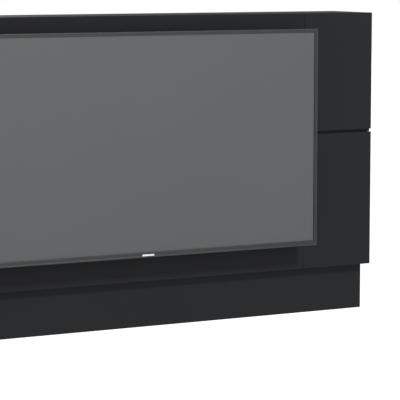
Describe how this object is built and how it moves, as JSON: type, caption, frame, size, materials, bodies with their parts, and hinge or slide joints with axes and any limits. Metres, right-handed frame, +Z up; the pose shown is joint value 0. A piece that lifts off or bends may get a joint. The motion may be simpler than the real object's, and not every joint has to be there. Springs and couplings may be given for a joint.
{
  "type": "hanging wall cabinet",
  "caption": "Wall-hung black media cabinet with push-open doors, a drop-down base flap and a flat television on a tilting bracket over its grooved front.",
  "frame": {"origin": "on the wall plane, in the middle of the wall rail's screw holes", "axes": "+X to the right as seen from the room, +Y into the wall, +Z up"},
  "size_m": [1.76, 0.3452, 1.005],
  "materials": {
    "black_board": "matt black melamine on board, edged",
    "raw_board": "raw fibreboard",
    "back_sheet": "black painted hardboard",
    "black_trim": "black anodised",
    "black_plastic": "moulded, fine texture",
    "grey_plastic": "moulded",
    "zinc_steel": "zinc plated",
    "black_steel": "black powder coat",
    "tv_cover": "moulded, fine texture",
    "tv_frame": "dark grey satin",
    "tv_screen": "grey, switched off, semi-matt",
    "bright_plate": "satin, blank"
  },
  "bodies": {
    "cabinet": {"left_side_panel": "black_board", "right_side_panel": "black_board", "top_panel": "black_board", "bottom_panel": "black_board", "left_divider": "black_board", "right_divider": "black_board", "mid_shelves": "black_board", "mid_rail": "black_board", "backing_boards": "raw_board", "centre_upright": "black_board", "back_panel": "back_sheet", "upper_centre_front": "black_board", "lower_centre_front": "black_board", "groove_strip": "black_trim", "loose_shelves": "black_board", "shelf_pins": "zinc_steel", "cam_fasteners": "zinc_steel", "base_ends": "black_board", "base_floor": "black_board", "base_back_rail": "black_board", "base_dividers": "black_board", "cable_grommet": "black_plastic", "wall_rail": "zinc_steel", "hangers": "zinc_steel", "door_hinge_frame_leaves": "black_steel", "door_hinge_pins": "zinc_steel", "flap_hinge_frame_leaf": "black_steel", "flap_hinge_pin": "zinc_steel", "latch_housings": "grey_plastic", "bracket_plate": "black_steel", "bracket_arms": "black_steel", "bracket_screws": "zinc_steel", "tilt_bolts": "zinc_steel"},
    "upper_left_door_body": {"upper_left_door": "black_board", "upper_left_hinge_leaf": "black_steel", "upper_left_strike_plate": "zinc_steel"},
    "upper_right_door_body": {"upper_right_door": "black_board", "upper_right_hinge_leaf": "black_steel", "upper_right_strike_plate": "zinc_steel"},
    "lower_left_door_body": {"lower_left_door": "black_board", "lower_left_hinge_leaf": "black_steel", "lower_left_strike_plate": "zinc_steel"},
    "lower_right_door_body": {"lower_right_door": "black_board", "lower_right_hinge_leaf": "black_steel", "lower_right_strike_plate": "zinc_steel"},
    "base_flap": {"flap": "black_board", "flap_hinge_leaf": "black_steel", "flap_strike_plates": "zinc_steel"},
    "television": {"tv_tilt_rails": "black_steel", "tv_rail_screws": "zinc_steel", "tv_back_cover": "tv_cover", "tv_frame": "tv_frame", "tv_screen": "tv_screen", "tv_plate": "bright_plate"},
    "upper_left_plunger_body": {"upper_left_latch_plunger": "black_plastic"},
    "upper_right_plunger_body": {"upper_right_latch_plunger": "black_plastic"},
    "lower_left_plunger_body": {"lower_left_latch_plunger": "black_plastic"},
    "lower_right_plunger_body": {"lower_right_latch_plunger": "black_plastic"},
    "flap_left_plunger_body": {"flap_left_latch_plunger": "black_plastic"},
    "flap_right_plunger_body": {"flap_right_latch_plunger": "black_plastic"}
  },
  "joints": [
    {"name": "upper_left_door_hinge", "type": "hinge", "parent": "cabinet", "child": "upper_left_door_body", "pos_m": [-0.8773, -0.233, -0.135], "axis": [0, 0, -1], "range_deg": [0, 100]},
    {"name": "upper_right_door_hinge", "type": "hinge", "parent": "cabinet", "child": "upper_right_door_body", "pos_m": [0.8773, -0.233, -0.135], "axis": [0, 0, 1], "range_deg": [0, 100]},
    {"name": "lower_left_door_hinge", "type": "hinge", "parent": "cabinet", "child": "lower_left_door_body", "pos_m": [-0.8773, -0.233, -0.565], "axis": [0, 0, -1], "range_deg": [0, 100]},
    {"name": "lower_right_door_hinge", "type": "hinge", "parent": "cabinet", "child": "lower_right_door_body", "pos_m": [0.8773, -0.233, -0.565], "axis": [0, 0, 1], "range_deg": [0, 100]},
    {"name": "base_flap_hinge", "type": "hinge", "parent": "cabinet", "child": "base_flap", "pos_m": [0, -0.198, -0.9423], "axis": [1, 0, 0], "range_deg": [0, 90]},
    {"name": "television_tilt", "type": "hinge", "parent": "cabinet", "child": "television", "pos_m": [0, -0.275, -0.343], "axis": [1, 0, 0], "range_deg": [0, 8]},
    {"name": "upper_left_plunger_press", "type": "slide", "parent": "cabinet", "child": "upper_left_plunger_body", "axis": [0, 1, 0], "range_m": [0, 0.0015], "stiffness_N_per_m": 200, "springref_m": -0.004},
    {"name": "upper_right_plunger_press", "type": "slide", "parent": "cabinet", "child": "upper_right_plunger_body", "axis": [0, 1, 0], "range_m": [0, 0.0015], "stiffness_N_per_m": 200, "springref_m": -0.004},
    {"name": "lower_left_plunger_press", "type": "slide", "parent": "cabinet", "child": "lower_left_plunger_body", "axis": [0, 1, 0], "range_m": [0, 0.0015], "stiffness_N_per_m": 200, "springref_m": -0.004},
    {"name": "lower_right_plunger_press", "type": "slide", "parent": "cabinet", "child": "lower_right_plunger_body", "axis": [0, 1, 0], "range_m": [0, 0.0015], "stiffness_N_per_m": 200, "springref_m": -0.004},
    {"name": "flap_left_plunger_press", "type": "slide", "parent": "cabinet", "child": "flap_left_plunger_body", "axis": [0, 1, 0], "range_m": [0, 0.0015], "stiffness_N_per_m": 200, "springref_m": -0.004},
    {"name": "flap_right_plunger_press", "type": "slide", "parent": "cabinet", "child": "flap_right_plunger_body", "axis": [0, 1, 0], "range_m": [0, 0.0015], "stiffness_N_per_m": 200, "springref_m": -0.004}
  ]
}
